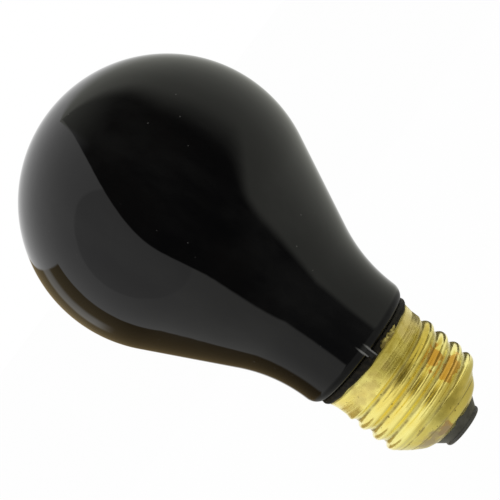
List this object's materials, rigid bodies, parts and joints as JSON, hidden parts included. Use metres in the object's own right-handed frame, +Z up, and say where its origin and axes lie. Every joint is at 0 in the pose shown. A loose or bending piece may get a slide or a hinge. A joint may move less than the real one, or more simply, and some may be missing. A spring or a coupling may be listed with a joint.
{
  "type": "black light bulb",
  "caption": "Pear-shaped light bulb of glossy black glass with a brass screw cap, for a standard screw lamp holder.",
  "frame": {"origin": "middle of the flat end of the centre contact's solder", "axes": "+Z up the bulb's axis from the cap to the crown of the glass, -Y towards the side with the small lug on the neck"},
  "size_m": [0.0612, 0.0612, 0.1087],
  "materials": {
    "black_glass": "gloss",
    "cement": "matte",
    "shell_brass": "satin",
    "insulator_glass": "satin",
    "contact_brass": "satin",
    "solder": "satin",
    "lead_wire": "satin"
  },
  "bodies": {
    "root": {"glass_bulb": "black_glass", "basing_cement": "cement", "screw_shell": "shell_brass", "insulator": "insulator_glass", "centre_contact": "contact_brass", "contact_solder": "solder", "contact_lead": "lead_wire", "shell_lead": "lead_wire", "side_solder": "solder"}
  },
  "joints": []
}
